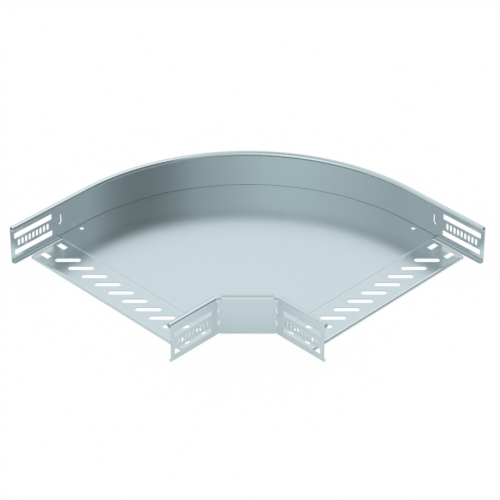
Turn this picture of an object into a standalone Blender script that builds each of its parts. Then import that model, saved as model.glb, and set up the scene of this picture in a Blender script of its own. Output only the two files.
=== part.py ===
"""Horizontal 90 degree bend for perforated cable tray, in galvanised sheet steel.

Three folded sheets make it: a floor plate, an outer side rail and an inner side rail.
Each rail is built the way it is made. A straight strip gets its section, with a bottom
flange and a rolled top bead, then its holes are punched, then it is bent to its path.
The floor is punched flat too, then pressed down a step at both outlets and given a lip.

Metres, +Z up. X runs across the bend, the cable way opens towards -X-Y and +X-Y, and the
origin is the middle of the footprint, level with the lowest edge.
"""

import math

import bmesh
import bpy
from mathutils import Matrix, Vector

# Cable way
TRAY_WIDTH = 0.300
NECK_LENGTH = 0.047
CONNECTOR_LENGTH = 0.0824
INNER_SETBACK = 0.0046

# Side rails
RAIL_HEIGHT = 0.058
RAIL_SHEET = 0.001
FLANGE_WIDTH = 0.0055
FLANGE_BEND_RADIUS = 0.0008
FLANGE_END_RADIUS = 0.0035
BEAD_DIAMETER = 0.0072
BEAD_TURN = math.radians(300)
FOLD_ANGLE = math.radians(45)
FOLD_RADIUS = 0.008

# Floor plate
FLOOR_SHEET = 0.001
SEAT_GAP = 0.0003
WALL_GAP = 0.0007
BAND_GAP = 0.0015
STEP_LENGTH = 0.002
BAND_LENGTH = 0.0554
LIP_RADIUS = 0.0023
LIP_DROP = 0.003

# Floor perforation
FLOOR_SLOT_LENGTH = 0.034
FLOOR_SLOT_WIDTH = 0.0086
FLOOR_SLOT_PITCH = 0.0255
FLOOR_SLOT_MARGIN = 0.045
FLOOR_SLOT_FROM_STEP = 0.0277
KEY_HOLE_LENGTH = 0.015
KEY_HOLE_WIDTH = 0.0082
KEY_HOLE_SPREAD = 0.0286
KEY_HOLE_FROM_STEP = 0.0264
KEY_HOLE_FROM_WALL = 0.0193
DRAIN_DIAMETER = 0.0062
DRAIN_FROM_ARC = 0.0143
DRAIN_FROM_WALL = 0.0078
DRAIN_RELIEF_RADIUS = 0.005

# Connector perforation of the rails
LONG_SLOT_HEIGHT = 0.0085
LONG_SLOT_FROM_END = 0.006
LONG_SLOT_FROM_STEP = 0.0114
LONG_SLOT_SPREAD = 0.0256
SHORT_SLOT_HEIGHT = 0.010
SHORT_SLOT_WIDTH = 0.0042
SHORT_SLOT_PITCH = 0.0062
SHORT_SLOT_MARGIN = 0.007
PUNCH_CORNER_RADIUS = 0.001

# Latch slit of the outer rail and the openings at the inner rail's folds
LATCH_WIDTH = 0.0022
LATCH_HEIGHT = 0.0135
LATCH_TOP_RISE = 0.009
LATCH_FROM_STEP = 0.0041
LATCH_HOOK = 0.0024
LATCH_HOLE_DIAMETER = 0.0032
FOLD_HOLE_HEIGHT = 0.009
FOLD_HOLE_WIDTH = 0.0045
FOLD_HOLE_SPREAD = 0.0187
FOLD_HOLE_RISE = 0.0014
FOLD_NOTCH_DEPTH = 0.0015
FOOT_NOTCH_RADIUS = 0.002

# Smoothness of curves, in flat steps
ARC_STEPS = 32
FOLD_STEPS = 4
BEAD_STEPS = 10
CORNER_STEPS = 3
PRESS_STEPS = 4
LIP_STEPS = 4
HOLE_STEPS = 4

# Worked out from the sizes above
OUTLET_AXIS = Vector((-math.sqrt(0.5), -math.sqrt(0.5)))
ACROSS_AXIS = Vector((-math.sqrt(0.5), math.sqrt(0.5)))
ARC_RADIUS = TRAY_WIDTH + INNER_SETBACK
LEG_LENGTH = NECK_LENGTH + CONNECTOR_LENGTH
LONG_SLOT_LENGTH = CONNECTOR_LENGTH - LONG_SLOT_FROM_END - LONG_SLOT_FROM_STEP
BEAD_RADIUS = BEAD_DIAMETER / 2
CLEAR_MIDDLE = (RAIL_SHEET + RAIL_HEIGHT - BEAD_DIAMETER) / 2
SEAT_HEIGHT = RAIL_SHEET + SEAT_GAP
BAND_INSET = FLANGE_WIDTH + BAND_GAP
CUT_REACH = 4 * (RAIL_SHEET + FLOOR_SHEET)

# The sharp corner where a connector plate and the middle panel of the inner rail meet
INNER_CORNER = ACROSS_AXIS * INNER_SETBACK + OUTLET_AXIS * NECK_LENGTH
REAR = ARC_RADIUS + RAIL_SHEET
FRONT = (ACROSS_AXIS * (INNER_SETBACK - RAIL_SHEET) + OUTLET_AXIS * LEG_LENGTH).y
PLACE = Matrix.Translation((0, -(REAR + FRONT) / 2, LIP_DROP))


def clear_scene():
    for item in list(bpy.data.objects):
        bpy.data.objects.remove(item, do_unlink=True)


def steel(name, colour, roughness):
    material = bpy.data.materials.new(name)
    material.use_nodes = True
    shader = material.node_tree.nodes["Principled BSDF"]
    shader.inputs["Base Color"].default_value = (*colour, 1)
    shader.inputs["Metallic"].default_value = 1
    shader.inputs["Roughness"].default_value = roughness
    return material


def arc(centre, radius, start, end, steps):
    """Points on an arc, both ends included, from one angle to another."""
    angles = [start + (end - start) * i / steps for i in range(steps + 1)]
    return [centre + Vector((math.cos(a), math.sin(a))) * radius for a in angles]


def rounded_slot(length, width, radius):
    """Outline of a slot along local X with rounded corners, centred on the origin."""
    x = length / 2 - radius
    y = width / 2 - radius
    points = []
    for corner, (cx, cy) in enumerate(((x, y), (-x, y), (-x, -y), (x, -y))):
        start = corner * math.pi / 2
        points += arc(Vector((cx, cy)), radius, start, start + math.pi / 2, HOLE_STEPS)
    distinct = [p for i, p in enumerate(points) if (p - points[i - 1]).length > 1e-6]
    return distinct


def disc(diameter):
    return arc(Vector((0, 0)), diameter / 2, 0, 2 * math.pi, 4 * HOLE_STEPS)[:-1]


def prism(outline, depth):
    """A closed mesh of an outline in XY, carried through its plane to both sides."""
    mesh = bmesh.new()
    face = mesh.faces.new([mesh.verts.new((p.x, p.y, -depth / 2)) for p in outline])
    grown = bmesh.ops.extrude_face_region(mesh, geom=[face])["geom"]
    raised = [v for v in grown if isinstance(v, bmesh.types.BMVert)]
    bmesh.ops.translate(mesh, vec=(0, 0, depth), verts=raised)
    bmesh.ops.recalc_face_normals(mesh, faces=mesh.faces)
    return mesh


def add_prism(target, outline, depth, place):
    """Add a prism to the bmesh that gathers one tool's punches."""
    piece = prism(outline, depth)
    piece.transform(place)
    if place.determinant() < 0:
        bmesh.ops.reverse_faces(piece, faces=piece.faces)
    scratch = bpy.data.meshes.new("punch")
    piece.to_mesh(scratch)
    piece.free()
    target.from_mesh(scratch)
    bpy.data.meshes.remove(scratch)


def link_mesh(name, mesh):
    data = bpy.data.meshes.new(name)
    mesh.to_mesh(data)
    mesh.free()
    body = bpy.data.objects.new(name, data)
    bpy.context.collection.objects.link(body)
    return body


def punch(body, tools):
    """Cut each gathered set of punches out of the flat sheet and keep the result."""
    cutters = [link_mesh(f"{body.name}_punch_{i}", tool) for i, tool in enumerate(tools)]
    for cutter in cutters:
        cutter.hide_render = True
        cutter.display_type = "WIRE"
        cut = body.modifiers.new(cutter.name, "BOOLEAN")
        cut.operation = "DIFFERENCE"
        cut.solver = "EXACT"
        cut.object = cutter
    graph = bpy.context.evaluated_depsgraph_get()
    result = bpy.data.meshes.new_from_object(body.evaluated_get(graph))
    body.modifiers.clear()
    body.data = result
    for cutter in cutters:
        bpy.data.objects.remove(cutter, do_unlink=True)


def score(mesh, place, direction):
    """Split the sheet's faces along one bend line."""
    geometry = mesh.verts[:] + mesh.edges[:] + mesh.faces[:]
    bmesh.ops.bisect_plane(mesh, geom=geometry, dist=1e-7, plane_co=place, plane_no=direction)


def finish(body, mesh, material):
    bmesh.ops.transform(mesh, matrix=PLACE, verts=mesh.verts)
    bmesh.ops.triangulate(mesh, faces=mesh.faces, quad_method="BEAUTY", ngon_method="EAR_CLIP")
    bmesh.ops.recalc_face_normals(mesh, faces=mesh.faces)
    mesh.to_mesh(body.data)
    mesh.free()
    body.data.shade_smooth()
    body.data.set_sharp_from_angle(angle=math.radians(30))
    body.data.materials.clear()
    body.data.materials.append(material)


class Path:
    """Straight runs and right-hand bends that a strip follows in plan.

    The path is the strip's face on the cable side. Distances along the strip are turned
    into places in the plan, flat between the bend lines.
    """

    def __init__(self, start, heading, cable_side):
        self.lines = [(0.0, start, heading)]
        self.cable_side = cable_side
        self.bends = []

    def straight(self, length):
        distance, point, heading = self.lines[-1]
        end = point + Vector((math.cos(heading), math.sin(heading))) * length
        self.lines.append((distance + length, end, heading))

    def bend(self, radius, angle, steps):
        distance, point, heading = self.lines[-1]
        centre = point + Vector((math.sin(heading), -math.cos(heading))) * radius
        for i in range(1, steps + 1):
            turned = angle * i / steps
            out = heading + math.pi / 2 - turned
            place = centre + Vector((math.cos(out), math.sin(out))) * radius
            self.lines.append((distance + radius * turned, place, heading - turned))
        self.bends.append((distance, distance + radius * angle))

    @property
    def length(self):
        return self.lines[-1][0]

    def place(self, along, inward):
        after = 1
        while after < len(self.lines) - 1 and self.lines[after][0] < along:
            after += 1
        pair = []
        for _, point, heading in (self.lines[after - 1], self.lines[after]):
            left = Vector((-math.sin(heading), math.cos(heading)))
            pair.append(point + left * inward * self.cable_side)
        start, end = self.lines[after - 1][0], self.lines[after][0]
        return pair[0].lerp(pair[1], (along - start) / (end - start))


def rail_section():
    """The sheet's section: flange, wall and rolled bead. X is inward, Y is up."""
    flange_pivot = Vector((FLANGE_BEND_RADIUS, RAIL_SHEET + FLANGE_BEND_RADIUS))
    bead_pivot = Vector((BEAD_RADIUS - RAIL_SHEET, RAIL_HEIGHT - BEAD_RADIUS))
    outside = FLANGE_BEND_RADIUS + RAIL_SHEET
    bead_end = math.pi - BEAD_TURN
    points = [Vector((FLANGE_WIDTH, 0))]
    points += arc(flange_pivot, outside, 1.5 * math.pi, math.pi, CORNER_STEPS)
    points += arc(bead_pivot, BEAD_RADIUS, math.pi, bead_end, BEAD_STEPS)
    points += arc(bead_pivot, BEAD_RADIUS - RAIL_SHEET, bead_end, math.pi, BEAD_STEPS)
    points += arc(flange_pivot, FLANGE_BEND_RADIUS, math.pi, 1.5 * math.pi, CORNER_STEPS)
    points.append(Vector((FLANGE_WIDTH, RAIL_SHEET)))
    return points


# A strip lies along X with its cable face in the plane Y = 0 and its inside towards +Y.
THROUGH_WALL = Matrix(((1, 0, 0, 0), (0, 0, -1, 0), (0, 1, 0, 0), (0, 0, 0, 1)))


def strip(name, length):
    mesh = prism(rail_section(), length)
    to_strip = Matrix(((0, 0, 1, length / 2), (1, 0, 0, 0), (0, 1, 0, 0), (0, 0, 0, 1)))
    mesh.transform(to_strip)
    return link_mesh(name, mesh)


def wall_place(along, height):
    """Where a punch stands in the middle of the wall's sheet."""
    return Matrix.Translation((along, -RAIL_SHEET / 2, height)) @ THROUGH_WALL


def connector_punches(tool, end, direction):
    """Two long slots with a row of short upright slots between them, near one end."""
    middle = end + direction * (LONG_SLOT_FROM_END + LONG_SLOT_LENGTH / 2)
    long_slot = rounded_slot(LONG_SLOT_LENGTH, LONG_SLOT_HEIGHT, PUNCH_CORNER_RADIUS)
    for side in (-1, 1):
        height = CLEAR_MIDDLE + side * LONG_SLOT_SPREAD / 2
        add_prism(tool, long_slot, CUT_REACH, wall_place(middle, height))
    short_slot = rounded_slot(SHORT_SLOT_WIDTH, SHORT_SLOT_HEIGHT, SHORT_SLOT_WIDTH / 2)
    room = LONG_SLOT_LENGTH - 2 * SHORT_SLOT_MARGIN
    count = 1 + int(room / SHORT_SLOT_PITCH)
    for i in range(count):
        along = middle + (i - (count - 1) / 2) * SHORT_SLOT_PITCH
        add_prism(tool, short_slot, CUT_REACH, wall_place(along, CLEAR_MIDDLE))


def flange_end_punch(tool, end, direction):
    """Round the flange's free corner at a rail's end."""
    radius = FLANGE_END_RADIUS
    outside = RAIL_SHEET
    pivot = Vector((end + direction * radius, FLANGE_WIDTH - radius))
    swing = arc(pivot, radius, math.pi / 2, math.pi / 2 + direction * math.pi / 2, HOLE_STEPS)
    outline = swing + [
        Vector((end - direction * outside, pivot.y)),
        Vector((end - direction * outside, FLANGE_WIDTH + outside)),
        Vector((pivot.x, FLANGE_WIDTH + outside)),
    ]
    add_prism(tool, outline, 4 * RAIL_SHEET, Matrix.Identity(4))


def bent_rail(body, path, material):
    mesh = bmesh.new()
    mesh.from_mesh(body.data)
    for distance, _, _ in path.lines[1:-1]:
        score(mesh, (distance, 0, 0), (1, 0, 0))
    for vert in mesh.verts:
        place = path.place(vert.co.x, vert.co.y)
        vert.co = (place.x, place.y, vert.co.z)
    bmesh.ops.recalc_face_normals(mesh, faces=mesh.faces)
    finish(body, mesh, material)


def outer_rail_path():
    start = ACROSS_AXIS * ARC_RADIUS + OUTLET_AXIS * LEG_LENGTH
    path = Path(start, math.radians(45), cable_side=-1)
    path.straight(LEG_LENGTH)
    path.bend(ARC_RADIUS, math.pi / 2, ARC_STEPS)
    path.straight(LEG_LENGTH)
    return path


def inner_rail_path():
    start = ACROSS_AXIS * INNER_SETBACK + OUTLET_AXIS * LEG_LENGTH
    radius = FOLD_RADIUS + RAIL_SHEET
    setback = radius * math.tan(FOLD_ANGLE / 2)
    path = Path(start, math.radians(45), cable_side=1)
    path.straight(CONNECTOR_LENGTH - setback)
    path.bend(radius, FOLD_ANGLE, FOLD_STEPS)
    path.straight(-2 * INNER_CORNER.x - 2 * setback)
    path.bend(radius, FOLD_ANGLE, FOLD_STEPS)
    path.straight(CONNECTOR_LENGTH - setback)
    return path


def latch_punches(slits, holes, along, direction):
    """A hooked slit with a round hole at its foot, where the tray's latch springs in."""
    top = CLEAR_MIDDLE + LATCH_TOP_RISE
    bend = top - LATCH_HEIGHT + LATCH_HOOK
    half = LATCH_WIDTH / 2
    pivot = Vector((along + direction * LATCH_HOOK, bend))
    start = math.pi if direction > 0 else 0
    end = 1.5 * math.pi if direction > 0 else -0.5 * math.pi
    far = arc(pivot, LATCH_HOOK + half, start, end, HOLE_STEPS)
    near = arc(pivot, LATCH_HOOK - half, end, start, HOLE_STEPS)
    cap_start = 0 if direction > 0 else math.pi
    cap_end = math.pi - cap_start
    cap = arc(Vector((along, top)), half, cap_start, cap_end, HOLE_STEPS)
    add_prism(slits, far + near + cap, CUT_REACH, wall_place(0, 0))
    foot = wall_place(pivot.x, bend - LATCH_HOOK)
    add_prism(holes, disc(LATCH_HOLE_DIAMETER), CUT_REACH, foot)


def build_outer_rail(material):
    path = outer_rail_path()
    body = strip("outer_side_rail", path.length)
    openings, latch_holes = bmesh.new(), bmesh.new()
    for end, direction in ((0, 1), (path.length, -1)):
        connector_punches(openings, end, direction)
        flange_end_punch(openings, end, direction)
        latch = end + direction * (CONNECTOR_LENGTH + LATCH_FROM_STEP)
        latch_punches(openings, latch_holes, latch, -direction)
        drain = end + direction * (LEG_LENGTH - DRAIN_FROM_ARC)
        relief = Matrix.Translation((drain, DRAIN_FROM_WALL, 0))
        add_prism(openings, disc(2 * DRAIN_RELIEF_RADIUS), 4 * RAIL_SHEET, relief)
    punch(body, [openings, latch_holes])
    bent_rail(body, path, material)


def build_inner_rail(material):
    path = inner_rail_path()
    body = strip("inner_side_rail", path.length)
    openings, foot_notches = bmesh.new(), bmesh.new()
    for end, direction in ((0, 1), (path.length, -1)):
        connector_punches(openings, end, direction)
        flange_end_punch(openings, end, direction)
    hole = rounded_slot(FOLD_HOLE_WIDTH, FOLD_HOLE_HEIGHT, FOLD_HOLE_WIDTH / 2)
    for start, end in path.bends:
        middle, width = (start + end) / 2, end - start
        for side in (-1, 1):
            height = CLEAR_MIDDLE + FOLD_HOLE_RISE + side * FOLD_HOLE_SPREAD / 2
            add_prism(openings, hole, CUT_REACH, wall_place(middle, height))
        floor = RAIL_HEIGHT - BEAD_DIAMETER - FOLD_NOTCH_DEPTH
        ceiling = RAIL_HEIGHT + RAIL_SHEET
        notch = rounded_slot(width, 2 * (ceiling - floor), width / 2)
        lower_half = [Vector((p.x, min(p.y, 0))) for p in notch if p.y < 1e-6]
        add_prism(openings, lower_half, 4 * BEAD_DIAMETER, wall_place(middle, ceiling))
        tongue = rounded_slot(width, FLANGE_WIDTH + RAIL_SHEET, RAIL_SHEET / 2)
        beside = Matrix.Translation((middle, FLANGE_WIDTH / 2 + RAIL_SHEET, 0))
        add_prism(openings, tongue, 2 * (RAIL_SHEET + FLANGE_BEND_RADIUS), beside)
        foot = wall_place(middle, 0)
        add_prism(foot_notches, disc(2 * FOOT_NOTCH_RADIUS), 2 * BEAD_DIAMETER, foot)
    punch(body, [openings, foot_notches])
    bent_rail(body, path, material)


def plan(along, across, side):
    """A place on the floor: out along one outlet, and inward from the outer wall."""
    place = ACROSS_AXIS * (ARC_RADIUS - across) + OUTLET_AXIS * along
    return Vector((place.x * side, place.y))


def lip_start():
    return NECK_LENGTH + BAND_LENGTH - LIP_RADIUS - FLOOR_SHEET


def lip_bend_length():
    return (LIP_RADIUS + FLOOR_SHEET / 2) * math.pi / 2


def floor_outline():
    """Plan of the floor before its outlets are pressed, from the arc's left end round."""
    reach = lip_start() + lip_bend_length() + LIP_DROP - LIP_RADIUS
    fold_edge = INNER_CORNER.y + WALL_GAP
    corner_across = ARC_RADIUS - NECK_LENGTH - fold_edge * math.sqrt(2)
    left = [
        (0, WALL_GAP),
        (NECK_LENGTH, WALL_GAP),
        (NECK_LENGTH, BAND_INSET),
        (reach, BAND_INSET),
        (reach, TRAY_WIDTH - BAND_INSET),
        (NECK_LENGTH, TRAY_WIDTH - BAND_INSET),
        (NECK_LENGTH, corner_across),
    ]
    outline = [plan(along, across, 1) for along, across in left]
    outline += [plan(along, across, -1) for along, across in reversed(left)]
    rim = arc(Vector((0, 0)), ARC_RADIUS - WALL_GAP, math.pi / 4, 3 * math.pi / 4, ARC_STEPS)
    return outline + rim[1:-1]


def floor_punches(tool):
    slot = rounded_slot(FLOOR_SLOT_LENGTH, FLOOR_SLOT_WIDTH, FLOOR_SLOT_WIDTH / 2)
    key_hole = rounded_slot(KEY_HOLE_WIDTH, KEY_HOLE_LENGTH, PUNCH_CORNER_RADIUS)
    count = 1 + int((TRAY_WIDTH - 2 * FLOOR_SLOT_MARGIN) / FLOOR_SLOT_PITCH)
    row = NECK_LENGTH + FLOOR_SLOT_FROM_STEP
    key_row = NECK_LENGTH + KEY_HOLE_FROM_STEP
    for side in (1, -1):
        for i in range(count):
            across = TRAY_WIDTH / 2 + (i - (count - 1) / 2) * FLOOR_SLOT_PITCH
            add_prism(tool, slot, CUT_REACH, Matrix.Translation(plan(row, across, side).to_3d()))
        turned = Matrix.Rotation(side * math.radians(45), 4, "Z")
        for across in (KEY_HOLE_FROM_WALL, TRAY_WIDTH - KEY_HOLE_FROM_WALL):
            for shift in (-0.5, 0.5):
                place = plan(key_row + shift * KEY_HOLE_SPREAD, across, side).to_3d()
                add_prism(tool, key_hole, CUT_REACH, Matrix.Translation(place) @ turned)
        drain = plan(DRAIN_FROM_ARC, DRAIN_FROM_WALL, side).to_3d()
        add_prism(tool, disc(DRAIN_DIAMETER), CUT_REACH, Matrix.Translation(drain))


def pressed(along, height):
    """Press one place of the flat floor: down the step, along, then over the lip.

    The height runs from 0 on the sheet's underside to its thickness on top. Returned are
    the new distance along the outlet and the new height over the rails' underside.
    """
    if along <= NECK_LENGTH:
        return along, height + SEAT_HEIGHT
    share = min((along - NECK_LENGTH) / STEP_LENGTH, 1)
    drop = SEAT_HEIGHT * share * share * (3 - 2 * share)
    beyond = along - lip_start()
    if beyond <= 0:
        return along, height + SEAT_HEIGHT - drop
    turn = min(beyond / lip_bend_length(), 1) * math.pi / 2
    straight = max(beyond - lip_bend_length(), 0)
    radius = LIP_RADIUS + height
    out = lip_start() + radius * math.sin(turn)
    return out, radius * math.cos(turn) - LIP_RADIUS - straight


def build_floor(material):
    sheet = prism(floor_outline(), FLOOR_SHEET)
    sheet.transform(Matrix.Translation((0, 0, FLOOR_SHEET / 2)))
    body = link_mesh("floor_plate", sheet)
    openings = bmesh.new()
    floor_punches(openings)
    punch(body, [openings])
    step_lines = [NECK_LENGTH + STEP_LENGTH * i / PRESS_STEPS for i in range(PRESS_STEPS + 1)]
    lip_lines = [lip_start() + lip_bend_length() * i / LIP_STEPS for i in range(LIP_STEPS + 1)]
    mesh = bmesh.new()
    mesh.from_mesh(body.data)
    for side in (1, -1):
        outward = Vector((OUTLET_AXIS.x * side, OUTLET_AXIS.y, 0))
        for along in step_lines + lip_lines:
            score(mesh, outward * along, outward)
    for vert in mesh.verts:
        side = 1 if vert.co.x < 0 else -1
        outward = Vector((OUTLET_AXIS.x * side, OUTLET_AXIS.y, 0))
        along = vert.co.dot(outward)
        moved, height = pressed(along, vert.co.z)
        vert.co += outward * (moved - along)
        vert.co.z = height
    finish(body, mesh, material)


def main():
    clear_scene()
    build_floor(steel("galvanised_floor", (0.63, 0.70, 0.73), 0.28))
    build_outer_rail(steel("galvanised_outer_rail", (0.60, 0.67, 0.70), 0.28))
    build_inner_rail(steel("galvanised_inner_rail", (0.62, 0.69, 0.72), 0.28))


main()
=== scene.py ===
"""Looks of a horizontal 90 degree cable tray bend in strip-galvanised sheet steel."""

import math

import bmesh
import bpy
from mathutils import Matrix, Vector


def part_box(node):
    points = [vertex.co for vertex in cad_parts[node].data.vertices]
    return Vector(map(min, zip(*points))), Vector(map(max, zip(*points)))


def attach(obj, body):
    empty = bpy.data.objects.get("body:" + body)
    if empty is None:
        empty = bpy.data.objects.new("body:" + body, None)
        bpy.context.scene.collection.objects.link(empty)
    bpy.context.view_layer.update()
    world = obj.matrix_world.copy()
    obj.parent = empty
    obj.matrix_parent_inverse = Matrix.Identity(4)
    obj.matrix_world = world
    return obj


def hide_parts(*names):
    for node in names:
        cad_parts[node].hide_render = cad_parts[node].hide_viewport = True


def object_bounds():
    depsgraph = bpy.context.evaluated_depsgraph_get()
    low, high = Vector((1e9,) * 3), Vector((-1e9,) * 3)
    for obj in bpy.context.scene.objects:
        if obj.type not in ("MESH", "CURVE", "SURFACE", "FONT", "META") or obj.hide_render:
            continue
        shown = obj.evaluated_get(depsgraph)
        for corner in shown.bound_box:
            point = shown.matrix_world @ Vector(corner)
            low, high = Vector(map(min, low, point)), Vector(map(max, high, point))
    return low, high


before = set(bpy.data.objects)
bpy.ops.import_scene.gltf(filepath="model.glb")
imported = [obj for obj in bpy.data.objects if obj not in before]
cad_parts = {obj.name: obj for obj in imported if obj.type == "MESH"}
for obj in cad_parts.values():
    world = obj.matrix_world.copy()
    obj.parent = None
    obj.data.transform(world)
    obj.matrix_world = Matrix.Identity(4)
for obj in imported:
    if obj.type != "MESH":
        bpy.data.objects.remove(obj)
cad_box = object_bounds()

# Floor plate
# A flat blank of 1 mm strip-galvanised steel, rounded to the arc on its far side. A press
# slots it at both outlets, sets the outlet bands down by one sheet, and turns the outlet
# edges over into short lips. It lies on the flanges of both side rails.

SHEET = 0.001
TRAY_WIDTH = 0.300
INNER_SETBACK = 0.0046
ARC_RADIUS = TRAY_WIDTH + INNER_SETBACK
OUTLET_ANGLE = 45
NECK_LENGTH = 0.047
WALL_GAP = 0.0004
BAND_INSET = 0.0070
BAND_LENGTH = 0.0554
STEP_LENGTH = 0.002
STEP_CUTS = 8
LIP_RADIUS = 0.0023
LIP_CUTS = 10
ARC_CUTS = 180
PUNCH_REACH = 0.006
PUNCH_CUTS = 10
EDGE_BREAK = 0.0001
POLISHED_FROM = 0.0535
POLISHED_TO = 0.0545

RAIL_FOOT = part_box("outer_side_rail")[0].z
FLOOR_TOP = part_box("floor_plate")[1].z
LIP_FOOT = cad_box[0][2]
CENTRE = Vector((0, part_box("outer_side_rail")[1].y - ARC_RADIUS - SHEET, 0))
OUT = Vector((-1, -1, 0)).normalized()
ACROSS = Vector((-1, 1, 0)).normalized()
UP = Vector((0, 0, 1))
NEAR = 1e-5


def at(outward, sideways, height):
    """A place by the left outlet: out from the arc's centre, towards the outer wall, and up."""
    return CENTRE + OUT * outward + ACROSS * sideways + UP * height


def along(point):
    """How far out through the left outlet a point lies from the arc's centre."""
    return (point - CENTRE).dot(OUT)


def across(point):
    """How far towards the left outlet's outer wall a point lies from the arc's centre."""
    return (point - CENTRE).dot(ACROSS)


def spaced(count, pitch):
    """The places in a row of equal steps, counted from the row's middle."""
    return [(i - (count - 1) / 2) * pitch for i in range(count)]


def begin(name):
    """Fix the new primitive's place in its mesh, name it, and open it in edit mode."""
    bpy.ops.object.transform_apply(location=True, rotation=True, scale=True)
    bpy.context.object.name = name
    bpy.context.object.data.name = name
    bpy.ops.object.mode_set(mode="EDIT")
    return bpy.context.object


def pick(kind, test=lambda point: True):
    """Select the vertices, edges or faces in edit mode whose points all pass a test."""
    bpy.ops.mesh.select_mode(type=kind)
    bpy.ops.mesh.select_all(action="DESELECT")
    mesh = bmesh.from_edit_mesh(bpy.context.object.data)
    items = {"VERT": mesh.verts, "EDGE": mesh.edges, "FACE": mesh.faces}[kind]
    for item in items:
        points = [item.co] if kind == "VERT" else [v.co for v in item.verts]
        if all(test(point) for point in points):
            item.select_set(True)
    bmesh.update_edit_mesh(bpy.context.object.data)


def extrude(move):
    """Extrude what is picked by a move."""
    bpy.ops.mesh.extrude_region_move(TRANSFORM_OT_translate={"value": move})


def turn(centre, axis, degrees, cuts):
    """Spin the picked edges by the right-hand rule about an axis."""
    bpy.ops.mesh.spin(steps=cuts, angle=-math.radians(degrees), center=centre, axis=axis)


def only(piece):
    """Select one piece and make it the active one."""
    bpy.ops.object.select_all(action="DESELECT")
    piece.select_set(True)
    bpy.context.view_layer.objects.active = piece


def modify(kind, **settings):
    """Add a modifier to the active piece, set it and apply it."""
    modifier = bpy.context.object.modifiers.new(kind.lower(), kind)
    for name, value in settings.items():
        setattr(modifier, name, value)
    bpy.ops.object.modifier_apply(modifier=modifier.name)


def finish_surface(outward):
    """Close edit mode, mirror the half, and turn its faces so that the largest looks out."""
    bpy.ops.object.mode_set(mode="OBJECT")
    modify("MIRROR", merge_threshold=NEAR)
    bpy.ops.object.mode_set(mode="EDIT")
    bpy.ops.mesh.select_all(action="SELECT")
    bpy.ops.mesh.normals_make_consistent(inside=False)
    mesh = bmesh.from_edit_mesh(bpy.context.object.data)
    largest = max(mesh.faces, key=lambda face: face.calc_area())
    if largest.normal.dot(outward(largest.calc_center_median())) < 0:
        bpy.ops.mesh.flip_normals()
    bpy.ops.object.mode_set(mode="OBJECT")


def push_through(move):
    """Merge the doubled points of a punch's flat outline and give the punch its length."""
    pick("VERT")
    bpy.ops.mesh.remove_doubles(threshold=NEAR)
    pick("FACE")
    extrude(move)


def slot(length, width, corner, place, rotation):
    """A punch along its own X, with rounded corners, that reaches through the sheet."""
    bpy.ops.mesh.primitive_plane_add(size=1, location=(0, 0, -PUNCH_REACH / 2))
    bpy.context.object.scale = (length, width, 1)
    cutter = begin("punch")
    pick("VERT")
    bpy.ops.mesh.bevel(affect="VERTICES", offset=corner, segments=PUNCH_CUTS)
    push_through(UP * PUNCH_REACH)
    bpy.ops.object.mode_set(mode="OBJECT")
    cutter.location = place
    cutter.rotation_euler = rotation
    return cutter


def round_hole(diameter, place, rotation):
    """A round punch that reaches through the sheet."""
    return slot(diameter, diameter, diameter / 2, place, rotation)


def punch(piece, cutters):
    """Join the left half's punches, mirror them, and cut them out of the sheet."""
    only(cutters[0])
    for cutter in cutters:
        cutter.select_set(True)
    bpy.ops.object.join()
    bpy.ops.object.transform_apply(location=True, rotation=True, scale=True)
    tool = bpy.context.object
    tool.data.materials.clear()
    tool.data.materials.append(edge_finish)
    modify("MIRROR", use_mirror_merge=False)
    only(piece)
    modify("BOOLEAN", operation="DIFFERENCE", solver="EXACT", object=tool,
           material_mode="TRANSFER")
    bpy.data.objects.remove(tool, do_unlink=True)


def soften():
    """Break the cut edges by a tenth of a millimetre and keep the flats flat."""
    modify("BEVEL", width=EDGE_BREAK, segments=2, limit_method="ANGLE",
           angle_limit=math.radians(50), loop_slide=False)
    bpy.ops.object.shade_smooth_by_angle(angle=math.radians(40))
    modify("WEIGHTED_NORMAL", keep_sharp=True, weight=80)


class Socket:
    """One output in a shader tree. Plain arithmetic on it adds Math nodes."""

    def __init__(self, tree, output=None):
        self.tree = tree
        self.output = output

    def node(self, kind, settings=None, inputs=None, output=0):
        """Add a node, set it, fill its sockets with values or outputs, and give one output."""
        made = self.tree.nodes.new("ShaderNode" + kind)
        for name, value in (settings or {}).items():
            setattr(made, name, value)
        for name, value in (inputs or {}).items():
            if isinstance(value, Socket):
                self.tree.links.new(value.output, made.inputs[name])
            else:
                made.inputs[name].default_value = value
        return Socket(self.tree, made.outputs[output] if made.outputs else None)

    def math(self, operation, first, second):
        return self.node("Math", {"operation": operation}, {0: first, 1: second})

    def mix(self, share, first, second):
        """The first colour where the share is 0, and the second where it is 1."""
        return self.node("Mix", {"data_type": "RGBA"}, {0: share, 6: first, 7: second}, 2)

    def __add__(self, other):
        return self.math("ADD", self, other)

    def __radd__(self, other):
        return self.math("ADD", other, self)

    def __sub__(self, other):
        return self.math("SUBTRACT", self, other)

    def __rsub__(self, other):
        return self.math("SUBTRACT", other, self)

    def __mul__(self, other):
        return self.math("MULTIPLY", self, other)

    def __rmul__(self, other):
        return self.math("MULTIPLY", other, self)


def new_finish(name):
    """An empty material and the start of its node tree."""
    material = bpy.data.materials.new(name)
    material.use_nodes = True
    material.node_tree.nodes.clear()
    return material, Socket(material.node_tree)


def give_surface(tree, inputs):
    """End a finish's node tree in a Principled shader with these values and links."""
    surface = tree.node("BsdfPrincipled", {}, inputs)
    tree.node("OutputMaterial", {}, {"Surface": surface})


def shaded(colour, factor):
    """A colour made darker or lighter, as a socket takes it."""
    return tuple(min(channel * factor, 1.0) for channel in colour) + (1.0,)


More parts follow.
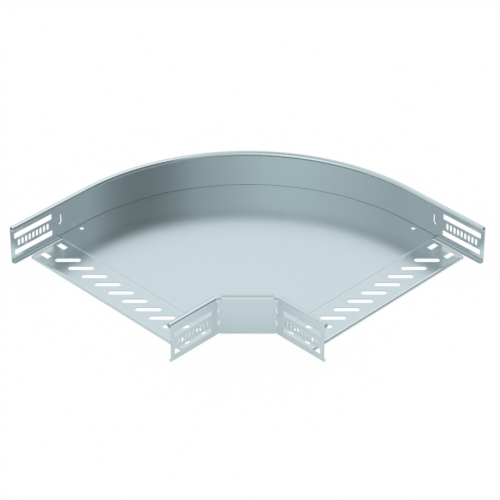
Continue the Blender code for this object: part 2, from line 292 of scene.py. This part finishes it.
def galvanised(name, colour, roughness):
    """Strip-galvanised sheet: faint zinc spangle, rolling streaks and a slight mottle.

    From the height of the rails' bead upwards it is smoother, as the rolls leave it.
    """
    material, tree = new_finish(name)
    place = tree.node("TexCoord", output="Object")
    spangle = tree.node("TexVoronoi", {}, {"Vector": place, "Scale": 210.0}, "Color")
    grey = tree.node("SeparateColor", {}, {"Color": spangle}, "Red")
    mottle = tree.node("TexNoise", {}, {"Vector": place, "Scale": 9.0, "Detail": 3.0})
    rolled = tree.node("Mapping", {}, {"Vector": place, "Scale": (900.0, 40.0, 900.0)})
    streak = tree.node("TexNoise", {}, {"Vector": rolled, "Scale": 1.0, "Detail": 2.0})
    tone = (grey - 0.5) * 0.012 + (mottle - 0.5) * 0.04
    base = tree.mix(tone + 0.5, shaded(colour, 0.90), shaded(colour, 1.10))
    height = tree.node("SeparateXYZ", {}, {"Vector": place}, "Z")
    polished = tree.node("MapRange", {"interpolation_type": "SMOOTHSTEP"},
                         {"Value": height, "From Min": POLISHED_FROM, "From Max": POLISHED_TO})
    rough = roughness + (grey - 0.5) * 0.008 + (streak - 0.5) * 0.01 - polished * 0.08
    bump = tree.node("Bump", {}, {"Height": streak, "Strength": 0.02, "Distance": 0.00001})
    give_surface(tree, {"Base Color": base, "Metallic": 1.0, "Roughness": rough, "Normal": bump})
    return material


def sheared(name, colour):
    """Cut edge of the sheet: burnished where the punch entered, torn and duller below."""
    material, tree = new_finish(name)
    place = tree.node("TexCoord", output="Object")
    torn = tree.node("TexNoise", {}, {"Vector": place, "Scale": 1500.0, "Detail": 3.0})
    base = tree.mix(torn, shaded(colour, 0.75), shaded(colour, 1.0))
    rough = torn * 0.2 + 0.35
    bump = tree.node("Bump", {}, {"Height": torn, "Strength": 0.2, "Distance": 0.00005})
    give_surface(tree, {"Base Color": base, "Metallic": 1.0, "Roughness": rough, "Normal": bump})
    return material


floor_finish = galvanised("galvanised_floor", (0.60, 0.70, 0.735), 0.24)
edge_finish = sheared("sheared_edge", (0.64, 0.72, 0.74))

floor_radius = ARC_RADIUS - WALL_GAP
blank_side = floor_radius + NECK_LENGTH
bpy.ops.mesh.primitive_plane_add(
    size=blank_side, rotation=(0, 0, math.radians(OUTLET_ANGLE)),
    location=(0, CENTRE.y + (blank_side / 2 - NECK_LENGTH) * math.sqrt(2), FLOOR_TOP))
floor_plate = begin("pressed_floor_plate")
far_corner = CENTRE.y + floor_radius * math.sqrt(2)
pick("VERT", lambda p: p.y > far_corner - NEAR)
bpy.ops.mesh.bevel(affect="VERTICES", offset=floor_radius, segments=ARC_CUTS,
                   clamp_overlap=False)
pick("FACE")
bpy.ops.mesh.bisect(plane_co=(0, 0, 0), plane_no=(1, 0, 0), clear_outer=True)
pick("FACE")
panel_line = CENTRE.y + (INNER_SETBACK - NECK_LENGTH) / math.sqrt(2) + WALL_GAP
bpy.ops.mesh.bisect(plane_co=(0, panel_line, 0), plane_no=(0, -1, 0), clear_outer=True)
for inset in (BAND_INSET, TRAY_WIDTH - BAND_INSET):
    pick("EDGE", lambda p: abs(along(p) - NECK_LENGTH) < NEAR)
    bpy.ops.mesh.bisect(plane_co=at(NECK_LENGTH, ARC_RADIUS - inset, 0), plane_no=ACROSS)
pick("EDGE", lambda p: abs(along(p) - NECK_LENGTH) < NEAR
     and BAND_INSET - NEAR < ARC_RADIUS - across(p) < TRAY_WIDTH - BAND_INSET + NEAR)

# The step down to the band is an even S, level at both ends
band_drop = FLOOR_TOP - RAIL_FOOT - SHEET
lowered = 0
for i in range(1, STEP_CUTS + 1):
    share = i / STEP_CUTS
    drop = band_drop * share * share * (3 - 2 * share)
    extrude(OUT * STEP_LENGTH / STEP_CUTS - UP * (drop - lowered))
    lowered = drop
lip_start = NECK_LENGTH + BAND_LENGTH - LIP_RADIUS - SHEET
extrude(OUT * (lip_start - NECK_LENGTH - STEP_LENGTH))
turn(at(lip_start, 0, RAIL_FOOT - LIP_RADIUS), -ACROSS, 90, LIP_CUTS)
extrude(-UP * (RAIL_FOOT - LIP_RADIUS - LIP_FOOT))
finish_surface(lambda p: UP)
floor_plate.data.materials.append(floor_finish)
floor_plate.data.materials.append(edge_finish)
modify("SOLIDIFY", thickness=SHEET, offset=-1, use_even_offset=True, material_offset_rim=1)

SLOT_LENGTH = 0.034
SLOT_WIDTH = 0.0086
SLOT_PITCH = 0.0255
SLOT_COUNT = 9
SLOT_FROM_NECK = 0.0277
KEY_HOLE = (0.0082, 0.015)
KEY_HOLE_SPREAD = 0.0286
KEY_HOLE_FROM_NECK = 0.0264
KEY_HOLE_FROM_WALL = 0.0193
PUNCH_CORNER = 0.001
DRAIN_DIAMETER = 0.0062
DRAIN_FROM_ARC = 0.0143
DRAIN_FROM_WALL = 0.0078
FLAT = (0, 0, 0)
TURNED = (0, 0, math.radians(OUTLET_ANGLE))

cutters = []
for shift in spaced(SLOT_COUNT, SLOT_PITCH):
    place = at(NECK_LENGTH + SLOT_FROM_NECK, ARC_RADIUS - TRAY_WIDTH / 2 + shift, FLOOR_TOP)
    cutters.append(slot(SLOT_LENGTH, SLOT_WIDTH, SLOT_WIDTH / 2, place, FLAT))
for from_wall in (KEY_HOLE_FROM_WALL, TRAY_WIDTH - KEY_HOLE_FROM_WALL):
    for shift in spaced(2, KEY_HOLE_SPREAD):
        place = at(NECK_LENGTH + KEY_HOLE_FROM_NECK + shift, ARC_RADIUS - from_wall, FLOOR_TOP)
        cutters.append(slot(*KEY_HOLE, PUNCH_CORNER, place, TURNED))
drain = at(DRAIN_FROM_ARC, ARC_RADIUS - DRAIN_FROM_WALL, FLOOR_TOP)
cutters.append(round_hole(DRAIN_DIAMETER, drain, FLAT))
punch(floor_plate, cutters)
soften()
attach(floor_plate, "root")
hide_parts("floor_plate")

# Outer side rail
# One strip of the same sheet, folded inward at its foot and rolled into a hollow bead at
# its top, then bent round the arc between two straight ends. The ends are punched as
# perforated connectors, with a hooked latch slit behind each.

RAIL_HEIGHT = 0.058
CONNECTOR_LENGTH = 0.0824
LEG_LENGTH = NECK_LENGTH + CONNECTOR_LENGTH
BEAD_RADIUS = 0.0036
BEAD_TURN = 310
BEAD_CUTS = 40
BEAD_FOOT = RAIL_FOOT + RAIL_HEIGHT - 2 * BEAD_RADIUS
FLANGE_WIDTH = 0.0050
FLANGE_BEND = 0.0018
FLANGE_CUTS = 6
FLANGE_CORNER = 0.0035
ARC_HALF_CUTS = 72
WALL_HEIGHT = RAIL_HEIGHT - BEAD_RADIUS - FLANGE_BEND
WALL_MIDDLE = RAIL_FOOT + FLANGE_BEND + WALL_HEIGHT / 2
CLEAR_MIDDLE = (RAIL_FOOT + SHEET + BEAD_FOOT) / 2
LONG_SLOT_HEIGHT = 0.0085
LONG_SLOT_FROM_END = 0.006
LONG_SLOT_FROM_STEP = 0.0114
LONG_SLOT_SPREAD = 0.0256
SHORT_SLOT = (0.010, 0.0042)
SHORT_SLOT_PITCH = 0.0062
SHORT_SLOT_COUNT = 9
LATCH_WIDTH = 0.0022
LATCH_HEIGHT = 0.0135
LATCH_TOP_RISE = 0.009
LATCH_FROM_STEP = 0.0041
LATCH_HOOK = 0.0024
LATCH_HOLE = 0.0032
DRAIN_RELIEF = 0.010
LYING = (math.pi / 2, 0, math.radians(OUTLET_ANGLE))
STANDING = (math.pi / 2, math.pi / 2, math.radians(OUTLET_ANGLE))
ON_PLAN = Vector((1, 1, 0))
SHEET_FINISH, EDGE_FINISH, BEAD_INSIDE_PAINTED_LIGHT, UNDER_BEAD_PAINTED_SHADE = range(4)
FACING_DOWN = -0.1


def fold_section(face, inward):
    """Roll the bead and fold the flange of the open wall, whose outer face is at a place."""
    run = UP.cross(inward)
    bead_axis = face + inward * BEAD_RADIUS + UP * (RAIL_FOOT + RAIL_HEIGHT - BEAD_RADIUS)
    bend_axis = face + inward * FLANGE_BEND + UP * (RAIL_FOOT + FLANGE_BEND)
    pick("EDGE", lambda p: p.z > RAIL_FOOT + FLANGE_BEND + WALL_HEIGHT - NEAR)
    turn(bead_axis, run, BEAD_TURN, BEAD_CUTS)
    pick("EDGE", lambda p: p.z < RAIL_FOOT + FLANGE_BEND + NEAR
         and abs((p - face).dot(inward)) < NEAR)
    turn(bend_axis, -run, 90, FLANGE_CUTS)
    extrude(inward * (FLANGE_WIDTH + SHEET - FLANGE_BEND))


def round_flange_corner(test):
    """Round the flange's free corner at the rail's end."""
    pick("VERT", lambda p: along(p) > LEG_LENGTH - NEAR and p.z < RAIL_FOOT + NEAR and test(p))
    bpy.ops.mesh.bevel(affect="VERTICES", offset=FLANGE_CORNER, segments=PUNCH_CUTS)


def thicken_rail():
    """Give the section its sheet and the cut edges their finish; paint light into the bead's
    inside and shade onto its downward faces.
    """
    rail = bpy.context.object
    for finish in (rail_finish, edge_finish, bead_painted_light, bead_painted_shade):
        rail.data.materials.append(finish)
    modify("SOLIDIFY", thickness=SHEET, offset=-1, use_even_offset=True,
           material_offset=BEAD_INSIDE_PAINTED_LIGHT, material_offset_rim=EDGE_FINISH)
    for face in rail.data.polygons:
        lowest = min(rail.data.vertices[i].co.z for i in face.vertices)
        in_bead = lowest > BEAD_FOOT - NEAR
        # Painted light: the inner faces in the bead keep the pale matt, the rest take the
        # sheet's finish
        if face.material_index == BEAD_INSIDE_PAINTED_LIGHT and not in_bead:
            face.material_index = SHEET_FINISH
        # Painted shade: the bead's downward faces take a darker copy of the sheet's finish
        elif face.material_index == SHEET_FINISH and in_bead and face.normal.z < FACING_DOWN:
            face.material_index = UNDER_BEAD_PAINTED_SHADE


def connector_punches(wall):
    """Two long slots with a row of short upright ones between them, in one end plate."""
    length = CONNECTOR_LENGTH - LONG_SLOT_FROM_END - LONG_SLOT_FROM_STEP
    middle = LEG_LENGTH - LONG_SLOT_FROM_END - length / 2
    made = []
    for side in spaced(2, LONG_SLOT_SPREAD):
        place = at(middle, wall, CLEAR_MIDDLE + side)
        made.append(slot(length, LONG_SLOT_HEIGHT, PUNCH_CORNER, place, LYING))
    for shift in spaced(SHORT_SLOT_COUNT, SHORT_SLOT_PITCH):
        place = at(middle + shift, wall, CLEAR_MIDDLE)
        made.append(slot(*SHORT_SLOT, SHORT_SLOT[1] / 2, place, STANDING))
    return made


def hooked_slit(top):
    """The latch slit: down from its round top, then curled towards the outlet."""
    bend = top + UP * (LATCH_HOOK - LATCH_HEIGHT)
    bpy.ops.mesh.primitive_plane_add(size=1, rotation=LYING, location=(top + bend) / 2)
    bpy.context.object.scale = (LATCH_WIDTH, (top - bend).length, 1)
    cutter = begin("punch")
    pick("EDGE", lambda p: p.z < bend.z + NEAR)
    turn(bend + OUT * LATCH_HOOK, ACROSS, 90, PUNCH_CUTS)
    pick("VERT", lambda p: p.z > top.z - NEAR)
    bpy.ops.mesh.bevel(affect="VERTICES", offset=LATCH_WIDTH / 2, segments=PUNCH_CUTS)
    push_through(ACROSS * PUNCH_REACH)
    bpy.ops.mesh.select_all(action="SELECT")
    bpy.ops.mesh.normals_make_consistent(inside=False)
    bpy.ops.object.mode_set(mode="OBJECT")
    cutter.location = ACROSS * (-PUNCH_REACH / 2)
    return cutter


def painted_light_matt(name, colour):
    """A pale matt, painted light in the bead's hollow so that its open ends look grey instead of
    dark.
    """
    material, tree = new_finish(name)
    place = tree.node("TexCoord", output="Object")
    speckle = tree.node("TexNoise", {}, {"Vector": place, "Scale": 600.0, "Detail": 3.0})
    base = tree.mix(speckle, shaded(colour, 0.9), shaded(colour, 1.0))
    give_surface(tree, {"Base Color": base, "Metallic": 0.1, "Roughness": speckle * 0.1 + 0.6})
    return material


rail_finish = galvanised("galvanised_rail", (0.58, 0.68, 0.715), 0.20)
# Painted light: a pale matt in the bead's hollow, which lightens its open ends
bead_painted_light = painted_light_matt("bead_inside_painted_light", (0.74, 0.80, 0.82))
# Painted shade: a darker copy of the rail's finish under the bead, where the roll shades the
# wall
bead_painted_shade = galvanised("bead_underside_painted_shade", (0.40, 0.475, 0.50), 0.20)

bpy.ops.mesh.primitive_plane_add(
    size=1, rotation=LYING, location=at(LEG_LENGTH / 2, ARC_RADIUS + SHEET, WALL_MIDDLE))
bpy.context.object.scale = (LEG_LENGTH, WALL_HEIGHT, 1)
outer_rail = begin("rolled_outer_rail")
fold_section(at(0, ARC_RADIUS + SHEET, 0), -ACROSS)
round_flange_corner(lambda p: across(p) < ARC_RADIUS - FLANGE_WIDTH + NEAR)
pick("EDGE", lambda p: along(p) < NEAR)
turn(CENTRE, -UP, OUTLET_ANGLE, ARC_HALF_CUTS)
finish_surface(lambda p: (p - CENTRE) * ON_PLAN)
thicken_rail()
relief = at(DRAIN_FROM_ARC, ARC_RADIUS - DRAIN_FROM_WALL, RAIL_FOOT)
latch_top = at(NECK_LENGTH - LATCH_FROM_STEP, ARC_RADIUS, CLEAR_MIDDLE + LATCH_TOP_RISE)
latch_foot = latch_top + OUT * LATCH_HOOK - UP * LATCH_HEIGHT
cutters = connector_punches(ARC_RADIUS)
cutters += [hooked_slit(latch_top), round_hole(DRAIN_RELIEF, relief, FLAT)]
punch(outer_rail, cutters)
punch(outer_rail, [round_hole(LATCH_HOLE, latch_foot, LYING)])
soften()
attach(outer_rail, "root")
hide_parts("outer_side_rail")

# Inner side rail
# A second strip of the same section, folded twice by 45 degrees round the inner corner. A
# plain middle panel joins two perforated connector plates. Each fold has two oval holes, and
# a notch at its top and at its foot.

FOLD_RADIUS = 0.008
FOLD_CUTS = 16
FOLD_HOLE = (0.009, 0.0045)
FOLD_HOLE_SPREAD = 0.0187
FOLD_HOLE_RISE = 0.0014
FOLD_NOTCH_DEPTH = 0.0015
FOLD_NOTCH_REACH = 1.5 * FOLD_RADIUS
FOLD_NOTCH_CUTS = 96
FLANGE_LEFT_IN_FOLD = 0.7 * FLANGE_BEND
FOOT_NOTCH = 0.004
HALF_FOLD = math.radians(OUTLET_ANGLE / 2)
FOLD_LYING = (math.pi / 2, 0, HALF_FOLD)
FOLD_STANDING = (math.pi / 2, math.pi / 2, HALF_FOLD)

fold_setback = (FOLD_RADIUS + SHEET) * math.tan(HALF_FOLD)
inner_corner = at(NECK_LENGTH, INNER_SETBACK, 0)
panel_half = -inner_corner.x - fold_setback
fold_axis = Vector((-panel_half, inner_corner.y - SHEET - FOLD_RADIUS, 0))
mid_fold = Vector((-math.sin(HALF_FOLD), math.cos(HALF_FOLD), 0))
in_sheet = fold_axis + mid_fold * (FOLD_RADIUS + SHEET / 2)
notch_centre = BEAD_FOOT - FOLD_NOTCH_DEPTH + (FOLD_RADIUS + SHEET / 2) * HALF_FOLD


def in_fold(point):
    """Whether a point lies within the left fold's turn about its axis."""
    turned = math.atan2(fold_axis.x - point.x, point.y - fold_axis.y)
    return -NEAR < turned < 2 * HALF_FOLD + NEAR


def depth_in_fold(point):
    """How far a point lies inward from the wall's outer face in the left fold."""
    return ((point - fold_axis) * ON_PLAN).length - FOLD_RADIUS


bpy.ops.mesh.primitive_plane_add(
    size=1, rotation=(math.pi / 2, 0, 0),
    location=(-panel_half / 2, inner_corner.y - SHEET, WALL_MIDDLE))
bpy.context.object.scale = (panel_half, WALL_HEIGHT, 1)
inner_rail = begin("folded_inner_rail")
fold_section(Vector((0, inner_corner.y - SHEET, 0)), Vector((0, 1, 0)))
pick("EDGE", lambda p: p.x < -panel_half + NEAR)
turn(fold_axis, UP, OUTLET_ANGLE, FOLD_CUTS)
extrude(OUT * (CONNECTOR_LENGTH - fold_setback))
round_flange_corner(lambda p: across(p) > INNER_SETBACK + FLANGE_WIDTH - NEAR)
pick("FACE", in_fold)
bpy.ops.mesh.bisect(plane_co=(0, 0, notch_centre), plane_no=UP)
pick("FACE", lambda p: in_fold(p) and p.z > notch_centre - NEAR)
bpy.ops.mesh.delete(type="FACE")
pick("FACE", lambda p: in_fold(p) and p.z < RAIL_FOOT + SHEET
     and depth_in_fold(p) > FLANGE_LEFT_IN_FOLD)
bpy.ops.mesh.delete(type="FACE")
finish_surface(lambda p: Vector((0, -1, 0)))
thicken_rail()

cutters = connector_punches(INNER_SETBACK)
for side in spaced(2, FOLD_HOLE_SPREAD):
    place = in_sheet + UP * (CLEAR_MIDDLE + FOLD_HOLE_RISE + side)
    cutters.append(slot(*FOLD_HOLE, FOLD_HOLE[1] / 2, place, FOLD_STANDING))
cutters.append(round_hole(FOOT_NOTCH, in_sheet + UP * RAIL_FOOT, FOLD_LYING))
bpy.ops.mesh.primitive_cone_add(
    vertices=FOLD_NOTCH_CUTS, radius1=FOLD_NOTCH_REACH * math.tan(HALF_FOLD),
    depth=FOLD_NOTCH_REACH, rotation=FOLD_LYING,
    location=fold_axis + mid_fold * FOLD_NOTCH_REACH / 2 + UP * notch_centre)
cutters.append(bpy.context.object)
punch(inner_rail, cutters)
soften()
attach(inner_rail, "root")
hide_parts("inner_side_rail")

# Studio
# A plain white floor in a white surround, which lights it evenly. Only what the metal mirrors
# is shaped: the surround goes from a warm white at the horizon to grey overhead, with soft
# bright screens round the bend, and dark ones low on the right and low behind.

STUDIO_SIZE = 12
STUDIO_DROP = 0.0002
WHITE = (1, 1, 1, 1)
WARM_WHITE = (1.04, 1.0, 0.96, 1)
PAINT = (0.95, 0.95, 0.95, 1)
GLOW_SEEN = 0.96
GLOW_MIRRORED = 0.42
AT_HORIZON = 0.99
AT_ZENITH = 0.31
AT_LEAST = 0.12
# Azimuth from the front to the right, elevation, and inner and outer rim, in degrees
OVERHEAD = (0, 90, 10, 55)
BEHIND = (180, 30, 40, 80)
# The same four, and what the screen adds
SCREENS = (
    (0, 90, 3, 52, 0.20),  # overhead
    (-18, 3, 3, 38, 0.36),  # low in front
    (-168, 40, 5, 45, 0.43),  # behind
    (-30, 41, 3, 48, 0.27),  # front left
    (81, 54, 3, 45, 0.76),  # high on the right
    (135, 55, 5, 25, 0.35),  # high behind on the right
    (-116, 50, 9, 32, 0.43),  # high on the left
    (53, 17, 10, 31, -0.75),  # low on the front right
    (85, 8, 3, 57, -0.68),  # low on the right
    (180, -3, 5, 30, -0.28),  # low behind
)

bpy.ops.mesh.primitive_plane_add(size=STUDIO_SIZE, location=(0, 0, LIP_FOOT - STUDIO_DROP))
studio_floor = bpy.context.object
studio_floor.name = "studio_floor"
bpy.ops.object.transform_apply(location=True, rotation=True, scale=True)
studio_white, tree = new_finish("studio_white")
camera_ray = tree.node("LightPath", output="Is Camera Ray")
glossy_ray = tree.node("LightPath", output="Is Glossy Ray")
clear_ray = tree.node("LightPath", output="Is Transmission Ray")
paint = tree.node("BsdfDiffuse", {}, {"Color": PAINT})
glow = tree.node("Emission", {}, {"Color": WHITE, "Strength": 1.0})
glowing = (camera_ray + clear_ray) * GLOW_SEEN + glossy_ray * GLOW_MIRRORED
ground = tree.node("MixShader", {}, {0: glowing, 1: paint, 2: glow})
tree.node("OutputMaterial", {}, {"Surface": ground})
studio_floor.data.materials.append(studio_white)

world = bpy.data.worlds.new("studio_surround")
world.use_nodes = True
world.node_tree.nodes.clear()
bpy.context.scene.world = world
tree = Socket(world.node_tree)
direction = tree.node("TexCoord", output="Generated")


def toward(azimuth, elevation, inner, outer):
    """A soft round patch of the surround: 1 in its middle and 0 past its rim, in degrees."""
    flat = math.cos(math.radians(elevation))
    aim = (math.sin(math.radians(azimuth)) * flat, -math.cos(math.radians(azimuth)) * flat,
           math.sin(math.radians(elevation)))
    facing = tree.node("VectorMath", {"operation": "DOT_PRODUCT"}, {0: direction, 1: aim},
                       "Value")
    return tree.node("MapRange", {"interpolation_type": "SMOOTHSTEP"},
                     {"Value": facing, "From Min": math.cos(math.radians(outer)),
                      "From Max": math.cos(math.radians(inner))})


upward = tree.node("SeparateXYZ", {}, {"Vector": direction}, "Z")
brightness = tree.node("MapRange", {"interpolation_type": "SMOOTHSTEP"},
                       {"Value": upward, "To Min": AT_HORIZON, "To Max": AT_ZENITH})
for *patch, gain in SCREENS:
    brightness = brightness + toward(*patch) * gain
brightness = tree.math("MAXIMUM", brightness, AT_LEAST)
tint = tree.mix(toward(*BEHIND) + toward(*OVERHEAD), WARM_WHITE, WHITE)
mirrored = tree.node("LightPath", output="Is Glossy Ray")
colour = tree.mix(mirrored, WHITE, tint)
strength = brightness * mirrored + (1 - mirrored)
backdrop = tree.node("Background", {}, {"Color": colour, "Strength": strength})
tree.node("OutputWorld", {}, {"Surface": backdrop})

# Camera
# The photograph's view, from the front and above: a long lens, far away. Its place and lens
# were fitted together with the bend's own sizes, to its corners, slots and folds.

CAMERA_ELEVATION = math.radians(35.093)
CAMERA_DISTANCE = 3.434
CAMERA_TARGET = Vector((0, 0.045369, 0.003))
CAMERA_SENSOR = 36
CAMERA_LENS = 188.24
CAMERA_SHIFT = (0.0050, -0.0007)
CAMERA_REACH = 50

back = Vector((0, -math.cos(CAMERA_ELEVATION), math.sin(CAMERA_ELEVATION)))
bpy.ops.object.camera_add(location=CAMERA_TARGET + back * CAMERA_DISTANCE,
                          rotation=(math.pi / 2 - CAMERA_ELEVATION, 0, 0))
camera = bpy.context.object
camera.data.sensor_width = CAMERA_SENSOR
camera.data.lens = CAMERA_LENS
camera.data.shift_x, camera.data.shift_y = CAMERA_SHIFT
camera.data.clip_end = CAMERA_REACH
bpy.context.scene.camera = camera
bpy.context.scene.view_settings.view_transform = "Standard"
